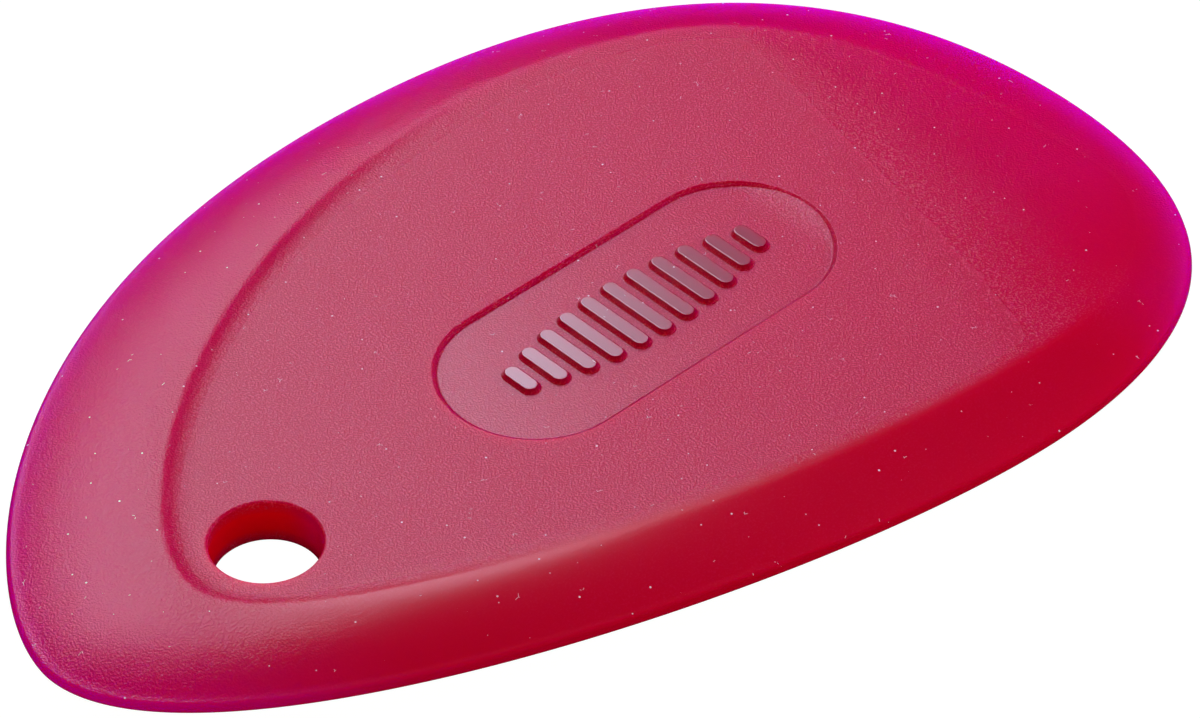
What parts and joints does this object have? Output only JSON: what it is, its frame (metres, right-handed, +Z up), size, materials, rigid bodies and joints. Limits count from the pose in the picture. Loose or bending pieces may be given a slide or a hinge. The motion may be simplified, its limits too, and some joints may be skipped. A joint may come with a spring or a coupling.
{
  "type": "silicone spatula",
  "caption": "Flat pebble-shaped silicone spatula with a thin scraping lip, a recessed thumb plaque and a hanging hole, moulded over a hidden stiffening core.",
  "frame": {"origin": "under the middle of the body, on the plane that its flat underside rests on", "axes": "+X along the body from the hanging hole to the broad nose, which is also the long axis of the thumb plaque; +Z up through the thickness, the plaque side on top; +Y towards the more rounded long side"},
  "size_m": [0.1338, 0.0874, 0.0055],
  "materials": {
    "silicone": "fine matt, slightly translucent",
    "core_plastic": "as moulded, matt"
  },
  "bodies": {
    "root": {"silicone_body": "silicone", "stiffening_core": "core_plastic"}
  },
  "joints": []
}
